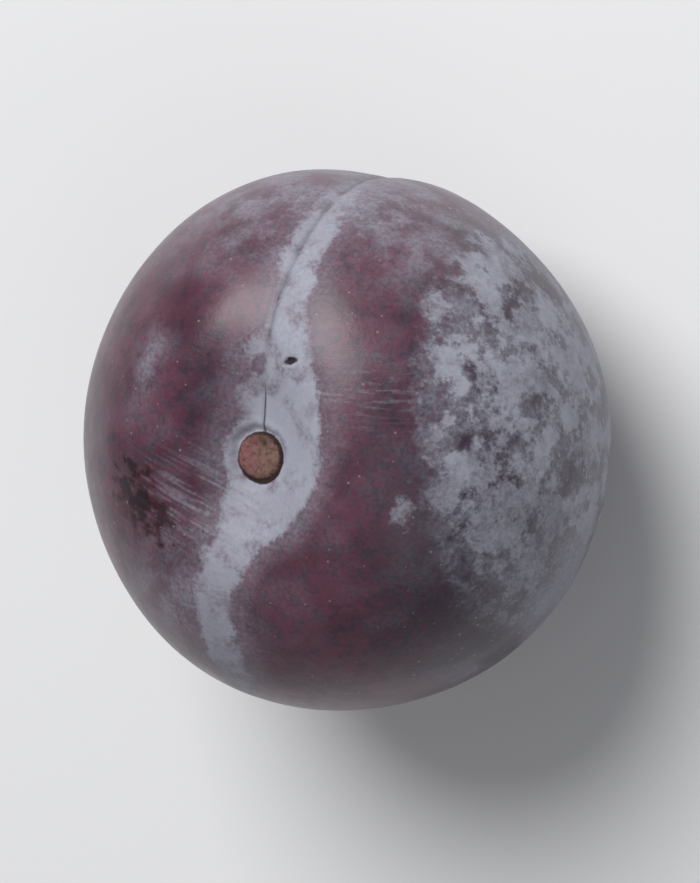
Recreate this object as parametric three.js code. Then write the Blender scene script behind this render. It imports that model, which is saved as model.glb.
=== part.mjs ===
// A black plum, as picked, in one solid: two unequal cheeks that meet at a suture, a shallow stem basin
// with the dry scar of the stalk in it, and a small flat spot at the blossom end that the fruit rests on.
// Millimetres. +Z points up the stem axis, +Y towards the suture, and the origin is on the rest spot,
// under the middle of the fruit.

import * as THREE from "three";
import { mergeVertices } from "three/addons/utils/BufferGeometryUtils.js";

// Overall size of the finished fruit
const SUTURE_WIDTH = 66; // from the suture to the back
const CHEEK_WIDTH = 65; // over the two cheeks
const HEIGHT = 57; // from the rest spot to the shoulders round the stem

// Plain body, before anything is pressed into it
const WIDEST_HEIGHT = 30.5; // height of the widest ring
const CROWN_RISE = 29; // from the widest ring to the top of the plain body
const REST_SPOT_RADIUS = 7;
const SQUARENESS = 2.12; // exponent of the meridian's superellipse, where 2 is an ellipse

// Stem basin, longer towards the suture than towards the cheeks
const BASIN_DEPTH = 6.4;
const BASIN_HALF_WIDTH = 8;
const BASIN_HALF_LENGTH = 10.5;

// Dry scar of the stalk: a low pad inside a narrow groove
const SCAR_RADIUS = 2.85; // of the pad
const SCAR_CROWN = 0.35;
const SCAR_GROOVE_DEPTH = 0.45;
const SCAR_GROOVE_AT = 1.08; // share of the pad's radius
const SCAR_GROOVE_WIDTH = 0.2; // share of the pad's radius

// Suture: a broad valley with a crease along its bottom, from the basin to the blossom end
const VALLEY_DEPTH_AT_SHOULDER = 1.05;
const VALLEY_DEPTH_AT_BLOSSOM_END = 0.35;
const VALLEY_HALF_WIDTH = 5.5;
const CREASE_DEPTH = 0.25;
const CREASE_HALF_WIDTH = 0.9;
const SUTURE_BOW = 0.8; // how far the line strays sideways at mid-height
const SUTURE_BOW_REACH = 14;
const SUTURE_START = 2; // the valley grows from here outwards, measured from the stem axis
const SUTURE_FULL = 9;

// Furrow on the back, which leaves the basin and dies out over the shoulder
const FURROW_DEPTH = 0.6;
const FURROW_HALF_WIDTH = 5.5;
const FURROW_REACH = 14; // how far below the shoulders it ends

// Cheeks: the one on the +X side stands a little prouder at the suture and higher at the shoulder
const CHEEK_STEP = 0.35;
const CHEEK_STEP_HALF_WIDTH = 9;
const SHOULDER_LIFT = 1.2; // at the full width of the body

// Slow swellings that keep the body from being a turned one
const SWELLINGS = [
  { lobes: 2, height: 0.3, turn: 0.5, twist: 0.9 },
  { lobes: 3, height: 0.28, turn: 2.1, twist: -1.3 },
  { lobes: 5, height: 0.12, turn: 0.4, twist: 1.7 },
];
const FOOT_CLEAR = 4; // nothing is pressed or swollen at the rest spot, and all of it from here up

// Fineness of the mesh
const SEGMENTS = 96;
const RINGS = 50;
const GATHER_AT_STEM = 0.66; // 0 spaces the rings evenly, 1 draws them into the stem
const GATHER_AT_SUTURE = 0.5; // the same for the segments and the suture

const BODY_RADIUS = SUTURE_WIDTH / 2;
const restAngle = Math.PI - Math.asin((REST_SPOT_RADIUS / BODY_RADIUS) ** (SQUARENESS / 2));
const footDrop = WIDEST_HEIGHT / superellipse(Math.cos(restAngle));

function superellipse(ratio) {
  return Math.abs(ratio) ** (2 / SQUARENESS);
}

function bell(offset, halfWidth) {
  return Math.exp(-((offset / halfWidth) ** 2));
}

// Half the body's outline, from the middle of the rest spot, along it and up the side to the stem axis
function meridian() {
  const points = [new THREE.Vector2(0, 0)];
  for (let ring = RINGS; ring > 0; ring--) {
    const share = ring / RINGS;
    const angle = restAngle * share * (1 - GATHER_AT_STEM + GATHER_AT_STEM * share);
    const rise = angle < Math.PI / 2 ? CROWN_RISE : -footDrop;
    const radius = BODY_RADIUS * superellipse(Math.sin(angle));
    const height = ring === RINGS ? 0 : WIDEST_HEIGHT + rise * superellipse(Math.cos(angle));
    points.push(new THREE.Vector2(radius, height));
  }
  points.push(new THREE.Vector2(0, WIDEST_HEIGHT + CROWN_RISE));
  return points;
}

// Direction straight out of the plain body at a point on it
function bodyNormal(point) {
  const radius = Math.hypot(point.x, point.y);
  const over = point.z - WIDEST_HEIGHT;
  const reach = over > 0 ? CROWN_RISE : footDrop;
  const outward = (radius / BODY_RADIUS) ** (SQUARENESS - 1) / BODY_RADIUS;
  const upward = (Math.sign(over) * (Math.abs(over) / reach) ** (SQUARENESS - 1)) / reach;
  const side = radius > 0 ? outward / radius : 0;
  return new THREE.Vector3(point.x * side, point.y * side, upward).normalize();
}

// 0 at the stem axis, growing to 1 out along the suture, or along the back where y is negated
function awayFromStem(y) {
  return THREE.MathUtils.smoothstep(y, SUTURE_START, SUTURE_FULL);
}

// How far the suture is pressed in, with its crease
function sutureDepth({ x, y, z }) {
  const valley = THREE.MathUtils.lerp(VALLEY_DEPTH_AT_BLOSSOM_END, VALLEY_DEPTH_AT_SHOULDER, z / HEIGHT);
  const crease = CREASE_DEPTH * bell(x, CREASE_HALF_WIDTH);
  return awayFromStem(y) * (valley * bell(x, VALLEY_HALF_WIDTH) + crease);
}

// How far the furrow on the back is pressed in
function furrowDepth({ x, y, z }) {
  const up = THREE.MathUtils.smoothstep(z, HEIGHT - FURROW_REACH, HEIGHT);
  return FURROW_DEPTH * awayFromStem(-y) * up * bell(x, FURROW_HALF_WIDTH);
}

// How far one cheek stands over the other where they meet at the suture
function cheekStep({ x, y }) {
  return CHEEK_STEP * awayFromStem(y) * Math.tanh(x / VALLEY_HALF_WIDTH) * bell(x, CHEEK_STEP_HALF_WIDTH);
}

// How far the body swells past its turned shape
function swelling({ x, y, z }) {
  const around = Math.atan2(x, y);
  const spread = (Math.hypot(x, y) / BODY_RADIUS) ** 2;
  let total = 0;
  for (const { lobes, height, turn, twist } of SWELLINGS) {
    total += height * spread * Math.cos(lobes * around + turn + (twist * z) / HEIGHT);
  }
  return total;
}

// Depth of the stem basin, with the pad and the groove of the scar in its bottom
function basinDepth({ x, y, z }) {
  const bowl = BASIN_DEPTH * bell(Math.hypot(x / BASIN_HALF_WIDTH, y / BASIN_HALF_LENGTH), 1);
  const padShare = Math.hypot(x, y) / SCAR_RADIUS;
  const crown = SCAR_CROWN * Math.max(0, 1 - padShare ** 2);
  const groove = SCAR_GROOVE_DEPTH * bell(padShare - SCAR_GROOVE_AT, SCAR_GROOVE_WIDTH);
  return z > WIDEST_HEIGHT ? bowl - crown + groove : 0;
}

// How far the shoulder on one side is lifted over the other
function shoulderLift({ x, z }) {
  const up = THREE.MathUtils.smoothstep(z, WIDEST_HEIGHT, HEIGHT);
  return (SHOULDER_LIFT * up * x) / BODY_RADIUS;
}

// How far the suture and the skin beside it stray towards +X
function sutureBow({ x, y, z }) {
  return SUTURE_BOW * awayFromStem(y) * Math.sin((Math.PI * z) / HEIGHT) * bell(x, SUTURE_BOW_REACH);
}

// Draws the vertices of a ring together towards the suture
function gather(point) {
  const radius = Math.hypot(point.x, point.y);
  const around = Math.atan2(point.x, point.y);
  const gathered = around - GATHER_AT_SUTURE * Math.sin(around);
  return point.set(radius * Math.sin(gathered), radius * Math.cos(gathered), point.z);
}

// Moves a point of the turned body to its place on the fruit
function grow(point) {
  const clear = THREE.MathUtils.smoothstep(point.z, 0, FOOT_CLEAR);
  const outward = clear * (swelling(point) + cheekStep(point) - sutureDepth(point) - furrowDepth(point));
  const sideways = clear * sutureBow(point);
  const upward = shoulderLift(point) - basinDepth(point);
  point.addScaledVector(bodyNormal(point), outward);
  point.x += sideways;
  point.z += upward;
}

function makeFruit() {
  const turned = new THREE.LatheGeometry(meridian(), SEGMENTS).rotateX(Math.PI / 2);
  turned.deleteAttribute("normal");
  turned.deleteAttribute("uv");
  const skin = mergeVertices(turned);
  const place = skin.attributes.position;
  const point = new THREE.Vector3();
  for (let i = 0; i < place.count; i++) {
    grow(gather(point.fromBufferAttribute(place, i)));
    place.setXYZ(i, point.x, point.y, point.z);
  }

  // The grown skin is brought to the overall size, with the middle of its box over the origin.
  skin.computeBoundingBox();
  const size = skin.boundingBox.getSize(new THREE.Vector3());
  const middle = skin.boundingBox.getCenter(new THREE.Vector3());
  skin.translate(-middle.x, -middle.y, 0);
  skin.scale(CHEEK_WIDTH / size.x, SUTURE_WIDTH / size.y, HEIGHT / size.z);
  skin.computeVertexNormals();
  return skin;
}

// Skin colour of the ripe fruit under its bloom
const skinMaterial = new THREE.MeshStandardMaterial({ color: 0x5a3442, roughness: 0.5, metalness: 0 });

const fruit = new THREE.Mesh(makeFruit(), skinMaterial);
fruit.name = "plum";

const plum = new THREE.Group();
plum.add(fruit);

export default plum;
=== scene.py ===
"""A black plum, as picked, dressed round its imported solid."""

import math

import bpy
import mathutils
import numpy as np
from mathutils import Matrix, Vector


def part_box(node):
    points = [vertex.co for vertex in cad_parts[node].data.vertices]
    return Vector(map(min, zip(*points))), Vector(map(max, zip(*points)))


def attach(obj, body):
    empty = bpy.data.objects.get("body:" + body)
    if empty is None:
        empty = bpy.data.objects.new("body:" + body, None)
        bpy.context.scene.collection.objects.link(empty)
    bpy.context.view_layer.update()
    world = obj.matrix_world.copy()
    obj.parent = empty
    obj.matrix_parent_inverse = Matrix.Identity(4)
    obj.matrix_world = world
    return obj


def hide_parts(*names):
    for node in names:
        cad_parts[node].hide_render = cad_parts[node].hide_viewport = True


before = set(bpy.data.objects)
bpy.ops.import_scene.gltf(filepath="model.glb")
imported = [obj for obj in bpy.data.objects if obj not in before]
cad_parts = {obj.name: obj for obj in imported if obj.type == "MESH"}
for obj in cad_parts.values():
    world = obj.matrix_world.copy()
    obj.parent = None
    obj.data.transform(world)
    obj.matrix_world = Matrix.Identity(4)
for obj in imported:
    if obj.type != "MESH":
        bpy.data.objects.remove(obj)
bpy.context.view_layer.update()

# ---------------------------------------------------------------------------------------------
# The fruit: skin over flesh, grown as one piece round a stone. Two cheeks meet at the suture, the
# stalk has left a dry scar in the basin on top, and the blossom end is a little flat.
# Its lengths are in millimetres, +Z up the stem axis and +Y towards the suture.

MM = 0.001
low, high = (np.array(corner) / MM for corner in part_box("plum"))
_, suture_width, height = high - low
body_radius = suture_width / 2

WIDEST_HEIGHT = 30.5
CROWN_RISE = 29  # from the widest ring to the top of the plain body
REST_SPOT_RADIUS = 7
SQUARENESS = 2.12  # exponent of the outline's superellipse, where 2 is an ellipse
FOOT_CLEAR = 4  # nothing is pressed or swollen at the rest spot, and all of it from here up
FOOT_SOFTNESS = 0.25  # rounds the border of the rest spot

BASIN_DEPTH = 6.4
BASIN_HALF_WIDTH = 8
BASIN_HALF_LENGTH = 10.5

SCAR_RADIUS = 2.85  # of the corky pad
SCAR_CROWN = 0.35
SCAR_GROOVE_DEPTH = 0.45
SCAR_GROOVE_AT = 1.08  # share of the pad's radius
SCAR_GROOVE_WIDTH = 0.2

VALLEY_DEPTH_AT_SHOULDER = 1.05
VALLEY_DEPTH_AT_BLOSSOM_END = 0.35
VALLEY_HALF_WIDTH = 5.5
CREASE_DEPTH = 0.25
CREASE_HALF_WIDTH = 0.9
SUTURE_BOW = 0.8  # how far the line strays sideways at mid-height
SUTURE_BOW_REACH = 14
SUTURE_START = 2  # it grows from here outwards, measured from the stem axis
SUTURE_FULL = 9

FURROW_DEPTH = 0.6
FURROW_HALF_WIDTH = 5.5
FURROW_REACH = 14  # how far below the shoulders it ends

CHEEK_STEP = 0.35  # how far one cheek stands over the other at the suture
CHEEK_STEP_HALF_WIDTH = 9
SHOULDER_LIFT = 1.2

SWELLINGS = [
    {"lobes": 2, "height": 0.3, "turn": 0.5, "twist": 0.9},
    {"lobes": 3, "height": 0.28, "turn": 2.1, "twist": -1.3},
    {"lobes": 5, "height": 0.12, "turn": 0.4, "twist": 1.7},
]

# Finer than the solid: the hairline of the suture, a healed nick beside it, the grain and the torn
# edge of the scar, the style's scar at the blossom end and the slight waviness of a ripe skin.
HAIRLINE_DEPTH = 0.1
HAIRLINE_HALF_WIDTH = 0.2
HAIRLINE_START = 3
HAIRLINE_FADE = 7
HAIRLINE_LOSS = 0.4  # share of its depth that it has lost farther out
NICK = {"middle": (3.7, 12.3), "half_length": 0.95, "half_width": 0.42, "turn": math.radians(17.5)}
NICK_DEPTH = 0.3
NICK_LIP = 0.06
NICK_LIP_AT = 2.4  # of the squared share
NICK_LIP_WIDTH = 1.2
SCAR_LIP = 0.08
SCAR_LIP_AT = 1.38
SCAR_LIP_WIDTH = 0.2
SCAR_GRAINS = [(0.1, 0.75), (0.05, 0.42)]  # height and size of the humps
SCAR_GRAIN_FADE = (1.05, 0.85)  # shares of the pad's radius, from none of the grain to all of it
SCAR_TEAR = [(0.035, 3, 1), (0.021, 7, 0), (0.0175, 13, 2)]  # share, waves round the edge and turn
STALK_STRAND = (0.2, 1.75)  # place of the strand that fed the fruit
STALK_STRAND_RADIUS = 0.42
STALK_STRAND_DEPTH = 0.28
STYLE_PIT_DEPTH = 0.32
STYLE_PIT_RADIUS = 1.3
STYLE_POINT_HEIGHT = 0.22
STYLE_POINT_RADIUS = 0.4
WAVES = [(0.05, 6.5), (0.018, 2.4)]  # height and length
WAVES_FADE = (1.2, 2.2)  # shares of the scar's radius, because the scar has its own grain

SEGMENTS = 384
RINGS = 250
GATHER_AT_ENDS = 0.62  # 0 spaces the rings evenly, 1 draws them all into the two ends
GATHER_AT_SUTURE = 0.7  # the same for the segments and the suture


def between(share, start, end):
    """From start, where share is 0, to end, where it is 1."""
    return start + (end - start) * share


def smoothstep(value, start, full):
    """0 at start, 1 at full and smooth between them."""
    share = np.clip((value - start) / (full - start), 0, 1)
    return share * share * (3 - 2 * share)


def bell(offset, half_width):
    return np.exp(-((offset / half_width) ** 2))


def superellipse(ratio):
    return np.abs(ratio) ** (2 / SQUARENESS)


def noise_at(points, layers):
    """Smooth noise at each point, in layers that each have a height and a size of hump."""
    total = np.zeros(len(points))
    for rise, size in layers:
        total += rise * np.array([mathutils.noise.noise(point) for point in (points / size).tolist()])
    return total


def ellipse_share(x, y, middle, half_length, half_width, turn=0.0):
    """Squared distance from the middle of an ellipse, seen from above, as a share: 1 on its edge."""
    off_x = x - middle[0]
    off_y = y - middle[1]
    along = (off_x * math.cos(turn) + off_y * math.sin(turn)) / half_length
    across = (off_y * math.cos(turn) - off_x * math.sin(turn)) / half_width
    return along * along + across * across


def away_from_stem(y):
    return smoothstep(y, SUTURE_START, SUTURE_FULL)


def suture_depth(x, y, z):
    valley = between(z / height, VALLEY_DEPTH_AT_BLOSSOM_END, VALLEY_DEPTH_AT_SHOULDER)
    broad = valley * bell(x, VALLEY_HALF_WIDTH) + CREASE_DEPTH * bell(x, CREASE_HALF_WIDTH)
    hairline = HAIRLINE_DEPTH * bell(x, HAIRLINE_HALF_WIDTH)
    hairline *= smoothstep(y, HAIRLINE_START, HAIRLINE_START + 1)
    hairline *= 1 - HAIRLINE_LOSS * smoothstep(y, HAIRLINE_FADE, 2 * HAIRLINE_FADE)
    return away_from_stem(y) * broad + hairline


def furrow_depth(x, y, z):
    up = smoothstep(z, height - FURROW_REACH, height)
    return FURROW_DEPTH * away_from_stem(-y) * up * bell(x, FURROW_HALF_WIDTH)


def swelling(x, y, z, azimuth):
    step = CHEEK_STEP * away_from_stem(y) * np.tanh(x / VALLEY_HALF_WIDTH)
    total = step * bell(x, CHEEK_STEP_HALF_WIDTH)
    spread = (np.hypot(x, y) / body_radius) ** 2
    for lobe in SWELLINGS:
        turned = lobe["lobes"] * azimuth + lobe["turn"] + lobe["twist"] * z / height
        total += lobe["height"] * spread * np.cos(turned)
    return total


def basin_depth(x, y, azimuth, grain):
    """The bowl round the stem, with the scar in it: a corky pad inside a torn groove."""
    pad_share = np.hypot(x, y) / SCAR_RADIUS
    tear = sum(share * np.sin(waves * azimuth + turn) for share, waves, turn in SCAR_TEAR)
    torn_share = pad_share * (1 + tear)
    bowl = BASIN_DEPTH * bell(np.hypot(x / BASIN_HALF_WIDTH, y / BASIN_HALF_LENGTH), 1)
    crown = SCAR_CROWN * np.maximum(0, 1 - pad_share**2)
    groove = SCAR_GROOVE_DEPTH * bell(torn_share - SCAR_GROOVE_AT, SCAR_GROOVE_WIDTH)
    lip = SCAR_LIP * bell(torn_share - SCAR_LIP_AT, SCAR_LIP_WIDTH)
    cork = grain * smoothstep(pad_share, *SCAR_GRAIN_FADE)
    strand_away = np.hypot(x - STALK_STRAND[0], y - STALK_STRAND[1])
    strand = STALK_STRAND_DEPTH * bell(strand_away, STALK_STRAND_RADIUS)
    return bowl - crown + groove - lip - cork + strand


def style_depth(radius):
    """The pit where the style stood, with a dry point left in it."""
    pit = STYLE_PIT_DEPTH * bell(radius, STYLE_PIT_RADIUS)
    return pit - STYLE_POINT_HEIGHT * bell(radius, STYLE_POINT_RADIUS)


def nick_depth(x, y):
    share = ellipse_share(x, y, **NICK)
    return NICK_DEPTH * np.exp(-share * share / 2) - NICK_LIP * bell(share - NICK_LIP_AT, NICK_LIP_WIDTH)


def skin_points():
    """The skin's points, ring by ring from the stem to the foot, with one more to close each end."""
    ring_share = np.arange(1, RINGS) / RINGS
    ring_angle = math.pi * ring_share - GATHER_AT_ENDS * np.sin(2 * math.pi * ring_share) / 2
    around = np.linspace(-math.pi, math.pi, SEGMENTS, endpoint=False)
    around = around - GATHER_AT_SUTURE * np.sin(around)
    angle = np.concatenate([[0], np.repeat(ring_angle, SEGMENTS), [math.pi]])
    azimuth = np.concatenate([[0], np.tile(around, RINGS - 1), [0]])

    # The plain body, with the blossom end pressed flat
    rest_angle = math.pi - math.asin((REST_SPOT_RADIUS / body_radius) ** (SQUARENESS / 2))
    foot_drop = WIDEST_HEIGHT / superellipse(math.cos(rest_angle))
    radius = body_radius * superellipse(np.sin(angle))
    radius[[0, -1]] = 0
    x, y = radius * np.sin(azimuth), radius * np.cos(azimuth)
    z = WIDEST_HEIGHT + np.where(np.cos(angle) > 0, CROWN_RISE, -foot_drop) * superellipse(np.cos(angle))
    z = (z + np.sqrt(z * z + FOOT_SOFTNESS**2)) / 2
    points = np.stack([x, y, z], axis=1)

    # The way straight out of it
    over = z - WIDEST_HEIGHT
    reach = np.where(over > 0, CROWN_RISE, foot_drop)
    outward = (radius / body_radius) ** (SQUARENESS - 1) / body_radius
    upward = np.sign(over) * (np.abs(over) / reach) ** (SQUARENESS - 1) / reach
    out = np.stack([outward * np.sin(azimuth), outward * np.cos(azimuth), upward], axis=1)
    out /= np.linalg.norm(out, axis=1)[:, None]

    # What swells and what is pressed in
    on_top = z > WIDEST_HEIGHT
    clear = smoothstep(z, 0, FOOT_CLEAR)
    waves = noise_at(points, WAVES) * smoothstep(radius / SCAR_RADIUS, *WAVES_FADE)
    grown = swelling(x, y, z, azimuth) - suture_depth(x, y, z) - furrow_depth(x, y, z) + waves
    bow = SUTURE_BOW * away_from_stem(y) * np.sin(math.pi * z / height) * bell(x, SUTURE_BOW_REACH)
    lift = SHOULDER_LIFT * smoothstep(z, WIDEST_HEIGHT, height) * x / body_radius
    basin = basin_depth(x, y, azimuth, noise_at(points, SCAR_GRAINS))
    points += out * (clear * grown)[:, None]
    points[:, 0] += clear * bow
    points[:, 2] += lift + np.where(on_top, -basin, style_depth(radius))

    # The grown skin is brought to the solid's own box, and the nick is cut in it last.
    size = points.max(axis=0) - points.min(axis=0)
    points = (points - points.min(axis=0)) * (high - low) / size + low
    points[:, 2] -= np.where(on_top, nick_depth(points[:, 0], points[:, 1]), 0)
    return points


def skin_faces(point_count):
    """Quads between the rings, and a fan of triangles that closes each end."""
    starts = 1 + np.arange(RINGS - 2)[:, None] * SEGMENTS
    here = starts + np.arange(SEGMENTS)
    beside = starts + (np.arange(SEGMENTS) + 1) % SEGMENTS
    quads = np.stack([here, here + SEGMENTS, beside + SEGMENTS, beside], axis=2).reshape(-1, 4)
    foot = np.full(SEGMENTS, point_count - 1)
    top_fan = np.stack([np.zeros(SEGMENTS, int), here[0], beside[0]], axis=1)
    foot_fan = np.stack([foot, beside[-1] + SEGMENTS, here[-1] + SEGMENTS], axis=1)
    return quads.tolist() + top_fan.tolist() + foot_fan.tolist()


def place(name, data):
    """A new object in the scene, with this mesh, camera or lamp in it."""
    placed = bpy.data.objects.new(name, data)
    bpy.context.scene.collection.objects.link(placed)
    return placed


points = skin_points()
skin_mesh = bpy.data.meshes.new("plum_skin")
skin_mesh.from_pydata((points * MM).tolist(), [], skin_faces(len(points)))
skin_mesh.shade_smooth()
skin = place("plum_skin", skin_mesh)


class Field:
    """A node's output socket. Arithmetic on fields adds the Math nodes for it."""

    tree = None

    def __init__(self, socket):
        self.socket = socket

    @classmethod
    def node(cls, kind, settings, inputs, output=0):
        """One output of a new node, after its settings and the values or links of its sockets."""
        made = cls.tree.nodes.new(kind)
        for name, value in settings.items():
            setattr(made, name, value)
        for name, value in inputs.items():
            if isinstance(value, Field):
                cls.tree.links.new(value.socket, made.inputs[name])
            else:
                made.inputs[name].default_value = value
        return cls(made.outputs[output]) if made.outputs else None

    @classmethod
    def maths(cls, operation, *values):
        return cls.node("ShaderNodeMath", {"operation": operation}, dict(enumerate(values)))

    def output(self, name):
        return Field(self.socket.node.outputs[name])

    def __add__(self, other):
        return Field.maths("ADD", self, other)

    def __sub__(self, other):
        return Field.maths("SUBTRACT", self, other)

    def __mul__(self, other):
        return Field.maths("MULTIPLY", self, other)

    def __truediv__(self, other):
        return Field.maths("DIVIDE", self, other)

    def __rsub__(self, other):
        return Field.maths("SUBTRACT", other, self)

    def __neg__(self):
        return Field.maths("MULTIPLY", self, -1.0)

    __radd__ = __add__
    __rmul__ = __mul__

    def over(self, start, full):
        """0 at start, 1 at full and smooth between them. Full may be the lower one."""
        sockets = {"Value": self, "From Min": start, "From Max": full}
        return Field.node("ShaderNodeMapRange", {"interpolation_type": "SMOOTHSTEP"}, sockets)

    def bell(self, half_width):
        share = self / half_width
        return Field.maths("EXPONENT", -(share * share))

    def at_least(self, floor):
        return Field.maths("MAXIMUM", self, floor)

    def at_most(self, ceiling):
        return Field.maths("MINIMUM", self, ceiling)


# The colour sockets of a Mix node go by number, because their names repeat.
MIX_FACTOR, MIX_START, MIX_END, MIX_RESULT = 0, 6, 7, 2


def blend(share, start, end):
    """A colour from start, where share is 0, to end, where it is 1."""
    sockets = {MIX_FACTOR: share, MIX_START: start, MIX_END: end}
    return Field.node("ShaderNodeMix", {"data_type": "RGBA"}, sockets, MIX_RESULT)


def new_material(name):
    """An empty material, which takes the nodes that are made next."""
    material = bpy.data.materials.new(name)
    material.use_nodes = True
    Field.tree = material.node_tree
    Field.tree.nodes.clear()
    return material


skin_material = new_material("plum_skin")
TOP_STARTS, TOP_FULL = 28, 36  # heights where the marks on top of the fruit begin and are whole
in_metres = Field.node("ShaderNodeTexCoord", {}, {}, "Object")
spot = Field.node("ShaderNodeVectorMath", {"operation": "SCALE"}, {0: in_metres, "Scale": 1 / MM})
x = Field.node("ShaderNodeSeparateXYZ", {}, {0: spot}, "X")
y = x.output("Y")
z = x.output("Z")
on_top = z.over(TOP_STARTS, TOP_FULL)
from_axis = Field.maths("SQRT", x * x + y * y)


def cloud(size, detail=2.0, roughness=0.5):
    """Soft noise about 0.5, with patches of about this size."""
    sockets = {"Vector": spot, "Scale": 1 / size, "Detail": detail, "Roughness": roughness}
    return Field.node("ShaderNodeTexNoise", {}, sockets)


def strokes(across, length, width):
    """Noise drawn out into fine strokes, which lie side by side in the direction across."""
    across = mathutils.Vector(across).normalized()
    side = Field.node("ShaderNodeVectorMath", {"operation": "DOT_PRODUCT"}, {0: spot, 1: across}, "Value")
    squeeze = 1 / width - 1 / length
    parts = {i: axis / length + side * (squeeze * across[i]) for i, axis in enumerate((x, y, z))}
    drawn = Field.node("ShaderNodeCombineXYZ", {}, parts)
    return Field.node("ShaderNodeTexNoise", {}, {"Vector": drawn, "Scale": 1.0, "Detail": 3.0})


def square_to(turn):
    """The level direction square to the one at this turn from +X."""
    return (-math.sin(turn), math.cos(turn), 0)


def near(middle, half_length, half_width, turn=0.0):
    """1 at a place on top of the fruit, falling off round it."""
    share = ellipse_share(x, y, middle, half_length, half_width, turn)
    return Field.maths("EXPONENT", -share) * on_top


def weighed_sum(parts):
    """The sum of parts that each have a weight."""
    return sum(weight * part for weight, part in parts)


coarse = cloud(2.6, detail=5.0, roughness=0.6) - 0.5
fine = cloud(0.55, detail=3.0, roughness=0.6) - 0.5
ragged = weighed_sum([(3.4, coarse), (1.3, fine)])  # how far a torn edge strays
torn = weighed_sum([(1.6, coarse), (0.8, fine)])  # the same on a small patch, as a share of it
TORN_SPOT_EDGE = (0.35, 0.9)
TORN_SPOT_ENDS = (0.1, 0.4)  # keeps stray flecks off the skin round the patch


def torn_spot(middle, half_length, half_width):
    """A small patch with a torn edge."""
    patch = (near(middle, half_length, half_width) + torn).over(*TORN_SPOT_EDGE)
    return patch * near(middle, 2 * half_length, 2 * half_width).over(*TORN_SPOT_ENDS)


# The bloom is a wax that the skin sweats. It is thickest in the basin and along the suture, in a
# band. Each of its two borders starts at an x and shifts between two places in y.
BAND_LEFT = -3.7
BAND_LEFT_SHIFTS = [(-3.2, -5, -18), (2.9, 11.5, 17.5), (-1.4, 18, 25)]
BAND_RIGHT = -1.2
BAND_RIGHT_SHIFTS = [(4.4, -19, -7), (6.3, -13, -1), (-5.2, 4, 22)]
SCAR_BULGE = 1.1  # of the left border, beside the scar
SCAR_BULGE_AT = 0.6
SCAR_BULGE_HALF_WIDTH = 3.5
BAND_NARROWS = [
    (4.5, z.over(49, 28) * y.over(2, -6)),  # down the back
    (2.6, z.over(46, 12) * y.over(-6, 2)),  # down the suture
    (9, z.over(14, 4)),  # at the blossom end
]


def border(start_x, shifts):
    """The x of a border of the band."""
    return start_x + sum(shift * y.over(start, full) for shift, start, full in shifts)


bulge = SCAR_BULGE * (y - SCAR_BULGE_AT).bell(SCAR_BULGE_HALF_WIDTH)
band_left = border(BAND_LEFT, BAND_LEFT_SHIFTS) - bulge
band_right = border(BAND_RIGHT, BAND_RIGHT_SHIFTS)
in_band = (x - band_left).at_most(band_right - x) - weighed_sum(BAND_NARROWS)

# Down the sides the band is worn: its edge strays farther and is softer, and it covers less. A thin
# haze reaches past it.
FRESH_HEIGHT, WORN_HEIGHT = 51, 26
BAND_EDGE_STARTS = -0.5, -3.1  # fresh and worn
BAND_EDGE_FULL = 1.1, 4.1
WORN_STRAY = 2.9
WORN_COVER = 0.65
BAND_COVER = 0.9
BAND_THINNED = [
    (0.34, cloud(3.2, detail=4.0).over(0.45, 0.68)),
    (0.38, x.over(-0.4, -3.2) * y.over(0.5, 4.5)),
    (0.09, y.over(5, 14)),
    (0.08, y.over(-1, -6)),
]
BAND_HAZE_EDGE = (-4, 0.2)
BAND_HAZE_COVER = 0.22
worn = z.over(FRESH_HEIGHT, WORN_HEIGHT)
torn_band = in_band + ragged * between(worn, 1, WORN_STRAY)
band_edge = torn_band.over(between(worn, *BAND_EDGE_STARTS), between(worn, *BAND_EDGE_FULL))
band = band_edge * between(worn, 1, WORN_COVER) * (BAND_COVER - weighed_sum(BAND_THINNED))
band_haze = torn_band.over(*BAND_HAZE_EDGE) * BAND_HAZE_COVER

# On the far cheek it is mottled, and fainter low down. Towards the back it is thinner, which darkens
# that side as painted shade from neighbouring fruit. Its edge crosses the cheek at a slant.
FAR_CHEEK_EDGE = 21.3
FAR_CHEEK_SLANT = 0.235
FAR_CHEEK_FADE = (-1.2, 3.4)
mottle = cloud(4.2, detail=6.0, roughness=0.66)
MOTTLE = [
    (0.54, mottle.over(0.43, 0.54)),
    (0.26, cloud(8, detail=3.0, roughness=0.55).over(0.42, 0.55)),
    (0.15, cloud(1.5, detail=3.0, roughness=0.6).over(0.4, 0.6)),
]
MOTTLE_LOW_DOWN = 0.9  # share of it that is left there
# Painted shade: less of the mottle is left towards the back, to darken that side.
MOTTLE_LEFT_IN_SHADE_AT_BACK = 0.6
far_cheek = x + FAR_CHEEK_SLANT * y - FAR_CHEEK_EDGE + 1.3 * ragged
mottle_left_and_shade = between(z.over(44, 26), 1, MOTTLE_LOW_DOWN) * between(y.over(-14, 6), MOTTLE_LEFT_IN_SHADE_AT_BACK, 1)
far_bloom = far_cheek.over(*FAR_CHEEK_FADE) * weighed_sum(MOTTLE) * mottle_left_and_shade

# Low down it lies in broad patches, below an edge that strays widely.
LOW_COVER = 0.6
LOW_EDGE_STARTS, LOW_EDGE_FULL = 44, 12
LOW_EDGE_STRAYS = 75
low_edge = z + LOW_EDGE_STRAYS * (cloud(24, detail=3.0) - 0.5) + 2 * ragged
low_patches = (cloud(17, detail=4.0) + 0.35 * coarse).over(0.38, 0.62)
low_bloom = low_edge.over(LOW_EDGE_STARTS, LOW_EDGE_FULL) * low_patches * LOW_COVER

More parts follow.
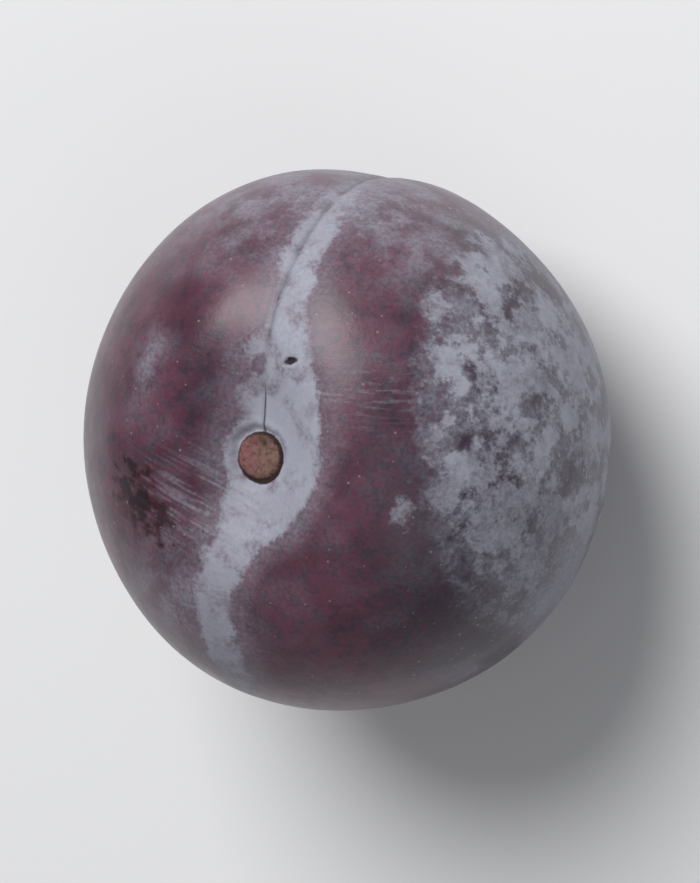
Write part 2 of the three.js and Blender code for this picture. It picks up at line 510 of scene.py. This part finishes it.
# Elsewhere on top handling has rubbed it to a thin haze, with one island left and a few smudges:
# their places, with the cover in the gaps of the mottle there and in its patches.
ISLAND = {"middle": (19.4, -3), "half_length": 1.4, "half_width": 2.7}
ISLAND_COVER = 0.45
SMUDGES = [
    ((x + ragged).over(-19, -29), 0.0, 0.1),
    (y.over(17, 33), 0.1, 0.5),
    (near((-10, -18), 9, 6, 0.3), 0.15, 0.5),
    (near((-15.5, 9), 2.6, 4.5, -0.3), 0.05, 0.35),
]
SMUDGE_MOTTLE = (0.36, 0.62)
bloom = far_bloom.at_least(band).at_least(band_haze).at_least(low_bloom)
bloom = bloom.at_least(torn_spot(**ISLAND) * ISLAND_COVER)
for where, in_gaps, in_patches in SMUDGES:
    bloom = bloom.at_least(where * between(mottle.over(*SMUDGE_MOTTLE), in_gaps, in_patches))

# Fingers have drawn streaks in it beside the scar and past the nick. They leave pale ridges on bare
# skin and dark lines in the band.
RUB_TURN = -0.36
RUB_ON_SKIN, RUB_ON_BAND = 0.24, -0.3
SCUFF_TURN = 0.05
SCUFF_COVER = 0.2
rub = strokes(square_to(RUB_TURN), length=7, width=0.55).over(0.46, 0.62) * near((-7, -6), 9, 5)
scuffs = strokes(square_to(SCUFF_TURN), length=3.2, width=0.5).over(0.5, 0.66) * near((13, 10), 6.5, 3.4)
bloom = bloom + rub * between(band, RUB_ON_SKIN, RUB_ON_BAND) + SCUFF_COVER * scuffs

# It is polished off where the fruit lay against its neighbours.
CONTACTS = [((-30, -8, 25), 7.5), ((10, -30, 21), 6), ((-16, 27, 21), 6.5)]  # middle and radius
CONTACT_STARTS, CONTACT_FULL = 2, -3.5  # from the radius outwards
LEAST_POLISH, MOST_POLISH = 0.72, 0.92
wiped = strokes((0.25, 0.2, 1), length=6, width=0.45).over(0.4, 0.62)
for middle, radius in CONTACTS:
    away = Field.node("ShaderNodeVectorMath", {"operation": "DISTANCE"}, {0: spot, 1: middle}, "Value")
    polished = (away + 2 * ragged).over(radius + CONTACT_STARTS, radius + CONTACT_FULL)
    bloom = bloom * (1 - polished * between(wiped, LEAST_POLISH, MOST_POLISH))

# Close up it is a powder, broken where it is thin, and a faint haze of it lies everywhere. One spot
# in the band has gone thin.
POWDER_LEAST, POWDER_MOST = 0.62, 1.38
HAZE = [
    (0.035, x.over(-8, 12)),
    (0.09, cloud(6, detail=5.0, roughness=0.6).over(0.42, 0.7)),
]
HAZE_EVERYWHERE = 0.005
THIN_SPOT = {"middle": (-0.9, 11), "half_length": 1.2, "half_width": 2}
THIN_SPOT_LOSS = 0.5
powder = cloud(0.5, detail=3.0, roughness=0.65)
broken = between(powder.over(0.28, 0.72), POWDER_LEAST, POWDER_MOST)
haze = HAZE_EVERYWHERE + weighed_sum(HAZE)
bloom = bloom * between(bloom.over(0.3, 1), broken, 1) + haze * broken
bloom = (bloom - THIN_SPOT_LOSS * torn_spot(**THIN_SPOT)).at_least(0.0).at_most(1.0)

# Under it the skin is burgundy, more purple on the flanks of the cheeks.
BURGUNDY = (0.106, 0.028, 0.052, 1)
WINE = (0.072, 0.019, 0.035, 1)
PURPLE = (0.024, 0.013, 0.029, 1)
BRUISE = {"middle": (-14.2, -7), "half_length": 8, "half_width": 4.6, "turn": -0.7}
bruise = near(**BRUISE)
PURPLER = [
    (0.8, x.over(12, 26)),
    (0.4, (x + ragged).over(-19, -31)),
    (0.5, near((-7.5, 8), 3.2, 9)),
    (0.45, bruise),
    (0.6, cloud(1.5, detail=4.0, roughness=0.65).over(0.46, 0.64)),
]
MOST_PURPLE = 0.9
colour = blend(cloud(7, detail=4.0, roughness=0.6).over(0.4, 0.6), BURGUNDY, WINE)
colour = blend(weighed_sum(PURPLER).at_most(MOST_PURPLE), colour, PURPLE)

# It is blotched, mostly where the near cheek was bruised, and the wax doesn't hold on the blotches.
RUSSET = (0.062, 0.014, 0.017, 1)
INK = (0.014, 0.005, 0.008, 1)
WAX = (0.355, 0.365, 0.430, 1)
BRUISE_BLOTCHES = 0.47
BLOTCHES = [(0.68, 0.86, 0.7, RUSSET), (0.81, 0.95, 0.9, INK)]  # edge, cover and colour
WAX_LOSS = (0.74, 0.88)
WAX_ON_BLOTCHES = 0.2
blotch = cloud(1.7, detail=2.5, roughness=0.55) + BRUISE_BLOTCHES * bruise
for start, full, cover, tone in BLOTCHES:
    colour = blend(blotch.over(start, full) * cover, colour, tone)
colour = blend(bloom * between(blotch.over(*WAX_LOSS), 1, WAX_ON_BLOTCHES), colour, WAX)

# Pale lenticels dot the skin. They are larger and plainer towards the blossom end.
LENTICEL = (0.40, 0.31, 0.33, 1)
LENTICEL_CELL = 1.5  # of the noise: a cell shows one where its point lies close under the skin
LENTICEL_SIZES = 0.03, 0.09, 0.1  # shares of a cell: the least, by chance and low down
LENTICEL_EDGE = (-0.03, 0.05)
COVER_ON_TOP, COVER_LOW_DOWN = 0.42, 0.75
pores = Field.node("ShaderNodeTexVoronoi", {}, {"Vector": spot, "Scale": 1 / LENTICEL_CELL}, "Distance")
chance = Field.node("ShaderNodeSeparateColor", {}, {0: pores.output("Color")})
low_down = z.over(50, 18)
least, by_chance, by_height = LENTICEL_SIZES
lenticels = (least + by_chance * chance + by_height * low_down - pores).over(*LENTICEL_EDGE)
colour = blend(lenticels * between(low_down, COVER_ON_TOP, COVER_LOW_DOWN), colour, LENTICEL)

# The suture shows as a dark hairline next to the scar and as a faint one down the side, which
# reaches the blossom end. The dark is partly the line's own and partly painted shade in the groove.
HAIRLINE_SHADE = 0.85
HAIRLINE_SHADE_HALF_WIDTH = 0.17
CREASE_SHADES = 0.12, 0.42  # the least and the most
CREASE_SHADE_HALF_WIDTH = 0.42
CREASE_SHADE_STARTS = 1.5, 7  # underneath and on top
CREASE_SHADE_FULL = 5, 15
hairline_reach = y.over(2.9, 3.3) * y.over(10.5, 6.5) * on_top
hairline = x.bell(HAIRLINE_SHADE_HALF_WIDTH) * hairline_reach * HAIRLINE_SHADE
suture_x = SUTURE_BOW * Field.maths("SINE", z * (math.pi / height)) * y.over(SUTURE_START, SUTURE_FULL)
painted_crease_shade = (x - suture_x + 0.4 * fine).bell(CREASE_SHADE_HALF_WIDTH)
painted_crease_shade = painted_crease_shade * y.over(between(on_top, *CREASE_SHADE_STARTS), between(on_top, *CREASE_SHADE_FULL))
painted_crease_shade = painted_crease_shade * between(cloud(4, detail=3.0).over(0.35, 0.6), *CREASE_SHADES)
# Painted shade, in part: the hairline and the crease are darkened as if shaded in the suture's groove.
colour = blend(hairline.at_least(painted_crease_shade), colour, INK)

# The nick is dark inside, and its callus paler than the skin.
NICK_DARK = (0.010, 0.004, 0.006, 1)
NICK_COVER = 0.97
NICK_EDGE = (1.5, 0.6)  # of the squared share
CALLUS = (0.47, 0.45, 0.46, 1)
CALLUS_COVER = 0.22
nick = ellipse_share(x, y, **NICK)
callus = (nick - NICK_LIP_AT + 3 * fine).bell(NICK_LIP_WIDTH) * on_top
colour = blend(callus * CALLUS_COVER, colour, CALLUS)
colour = blend((nick + 2.4 * fine).over(*NICK_EDGE) * on_top * NICK_COVER, colour, NICK_DARK)

# The scar: dull brown cork, redder towards one side, with a dark torn edge, widened on the side away
# from the key light by painted shade in the groove, and the dark end of the strand that fed the fruit.
CORK_RED = (0.215, 0.093, 0.092, 1)
CORK_TAN = (0.186, 0.108, 0.084, 1)
CORK_DARK = (0.060, 0.024, 0.019, 1)
CORK_EDGE_AND_SHADE = (0.022, 0.009, 0.008, 1)
PAD = {"middle": (-0.28, 0.15), "half_length": 2.95, "half_width": 2.8}
PAD_EDGE = (0.86, 1)
SCAR_EDGE = (1.14, 1.06)  # shares of the pad's radius
STRAND_COVER = 0.85
cork_grain = cloud(0.5, detail=4.0, roughness=0.65)
uneven = cork_grain - 0.5
CORK_DARKER = [(0.6, cork_grain.over(0.46, 0.66)), (0.55, (y + 1.6 * uneven).over(0.9, 2.6))]
pad_share = Field.maths("SQRT", ellipse_share(x, y, **PAD)) + 0.14 * uneven
strand = near(STALK_STRAND, STALK_STRAND_RADIUS, STALK_STRAND_RADIUS)
cork = blend((x + 1.5 * uneven).over(-2, 0.6), CORK_RED, CORK_TAN)
for cover, where in CORK_DARKER:
    cork = blend(cover * where, cork, CORK_DARK)
# Painted shade: the pad's ring is set off towards the light, so its dark edge is wider where the groove is
# shaded.
cork = blend(pad_share.over(*PAD_EDGE), cork, CORK_EDGE_AND_SHADE)
cork = blend(strand * STRAND_COVER, cork, CORK_EDGE_AND_SHADE)
scar = (from_axis / SCAR_RADIUS + 0.12 * uneven).over(*SCAR_EDGE) * on_top
colour = blend(scar, colour, cork)

# The style's dry point at the blossom end, with a little russet round it.
STYLE_POINT_EDGE = (1.7, 0.8)
STYLE_POINT_COVER = 0.92
STYLE_RUSSET_EDGE = (3.6, 0.8)
STYLE_RUSSET_COVERS = 0.15, 0.65  # the least and the most
style_away = from_axis + 0.8 * fine
underneath = z.over(6, 3)
russet_cover = between(cloud(0.9, detail=3.0).over(0.42, 0.6), *STYLE_RUSSET_COVERS)
colour = blend(style_away.over(*STYLE_RUSSET_EDGE) * russet_cover * underneath, colour, CORK_RED)
colour = blend(style_away.over(*STYLE_POINT_EDGE) * underneath * STYLE_POINT_COVER, colour, CORK_DARK)

# Wax is matt, rubbed skin is satin and cork is dull. The bump is the wax's powder, the pores, the
# cork's grain, the suture's hairline and the fine unevenness of the skin.
SKIN_ROUGHNESS = 0.33
WAX_ROUGHNESS = 0.67
CORK_ROUGHNESS = 0.8
SKIN_GLOSS = 0.16
BUMP_STRENGTH = 0.6
BUMP_HEIGHT = 0.06
ROUGHER = [(0.12, powder - 0.5), (0.22, coarse)]
RELIEF = [
    (0.16, powder),
    (0.35, lenticels),
    (0.8, cork_grain * scar),
    (0.7, fine),
    (1.6, coarse),
    (-1.2, hairline),
]
roughness = between(bloom, SKIN_ROUGHNESS, WAX_ROUGHNESS) + weighed_sum(ROUGHER)
bump_sockets = {"Strength": BUMP_STRENGTH, "Distance": BUMP_HEIGHT * MM, "Height": weighed_sum(RELIEF)}
bump = Field.node("ShaderNodeBump", {}, bump_sockets)
skin_sockets = {
    "Base Color": colour,
    "Roughness": between(scar, roughness, CORK_ROUGHNESS),
    "Coat Weight": (1 - bloom) * (1 - scar) * SKIN_GLOSS,
    "Coat Roughness": 0.3,
    "IOR": 1.42,
    "Specular IOR Level": 0.42,
    "Sheen Weight": 0.03,
    "Sheen Roughness": 0.5,
    "Sheen Tint": (0.85, 0.87, 1, 1),
    "Normal": bump,
}
surface = Field.node("ShaderNodeBsdfPrincipled", {}, skin_sockets)
Field.node("ShaderNodeOutputMaterial", {}, {"Surface": surface})
skin_mesh.materials.append(skin_material)

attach(skin, "root")
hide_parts("plum")

# ---------------------------------------------------------------------------------------------
# Floor: a plain pale board that the fruit stands on. It is painted matt, and is far larger than
# what the camera sees. Lengths are in metres from here on.

FLOOR_HALF_SIZE = 3
FLOOR_CORNERS = [(-1, -1), (1, -1), (1, 1), (-1, 1)]
FLOOR_PAINT = (0.8, 0.8, 0.8, 1)
FLOOR_ROUGHNESS = 0.7

corners = [(FLOOR_HALF_SIZE * across, FLOOR_HALF_SIZE * along, 0) for across, along in FLOOR_CORNERS]
floor_mesh = bpy.data.meshes.new("floor")
floor_mesh.from_pydata(corners, [], [(0, 1, 2, 3)])
floor = place("floor", floor_mesh)
floor_material = new_material("pale_floor")
paint = Field.node("ShaderNodeBsdfPrincipled", {}, {"Base Color": FLOOR_PAINT, "Roughness": FLOOR_ROUGHNESS})
Field.node("ShaderNodeOutputMaterial", {}, {"Surface": paint})
floor_mesh.materials.append(floor_material)

# ---------------------------------------------------------------------------------------------
# Camera: above the stem end and a little to the side of the prouder cheek. It is turned so that
# the suture runs up the frame.

TILT = math.radians(26)  # away from the stem axis
SIDE = math.radians(18.2)  # from +X towards the suture
LEAN = math.radians(190.5)  # round the line of sight
DISTANCE = 0.55
SEEN_WIDTH = 0.086
IMAGE_WIDTH, IMAGE_HEIGHT = 700, 883

fruit_middle = mathutils.Vector((0, 0, height / 2 * MM))
outwards = mathutils.Vector((math.cos(SIDE), math.sin(SIDE), 0))
stem_way = mathutils.Vector((0, 0, 1))
back = math.sin(TILT) * outwards + math.cos(TILT) * stem_way
stem_seen = math.sin(TILT) * stem_way - math.cos(TILT) * outwards
beside_stem = back.cross(stem_seen)
right = math.cos(LEAN) * stem_seen - math.sin(LEAN) * beside_stem
up = math.sin(LEAN) * stem_seen + math.cos(LEAN) * beside_stem

seen_height = SEEN_WIDTH * IMAGE_HEIGHT / IMAGE_WIDTH
camera_data = bpy.data.cameras.new("camera")
camera_data.lens = camera_data.sensor_width * DISTANCE / seen_height
camera = place("camera", camera_data)
turn = mathutils.Matrix((right, up, back)).transposed().to_4x4()
camera.matrix_world = mathutils.Matrix.Translation(fruit_middle + DISTANCE * back) @ turn
bpy.context.scene.camera = camera

# ---------------------------------------------------------------------------------------------
# Light: a soft box above the suture side and a weaker one on the camera's side, in pale
# surroundings.

SURROUNDINGS = (0.93, 0.95, 1, 1)
SURROUNDINGS_STRENGTH = 0.24


def soft_box(name, way, distance, size, power):
    data = bpy.data.lights.new(name, "AREA")
    data.shape = "DISK"
    data.size = size
    data.energy = power
    lamp = place(name, data)
    lamp.location = fruit_middle + distance * mathutils.Vector(way).normalized()
    lamp.rotation_euler = mathutils.Vector(way).to_track_quat("Z", "Y").to_euler()


soft_box("key", way=(-0.25, 0.65, 0.9), distance=1.3, size=0.9, power=17)
soft_box("fill", way=(0.9, -0.5, 0.9), distance=1.4, size=1, power=1.6)

world = bpy.data.worlds.new("surroundings")
world.use_nodes = True
world.node_tree.nodes["Background"].inputs["Color"].default_value = SURROUNDINGS
world.node_tree.nodes["Background"].inputs["Strength"].default_value = SURROUNDINGS_STRENGTH
bpy.context.scene.world = world
bpy.context.scene.view_settings.view_transform = "Standard"
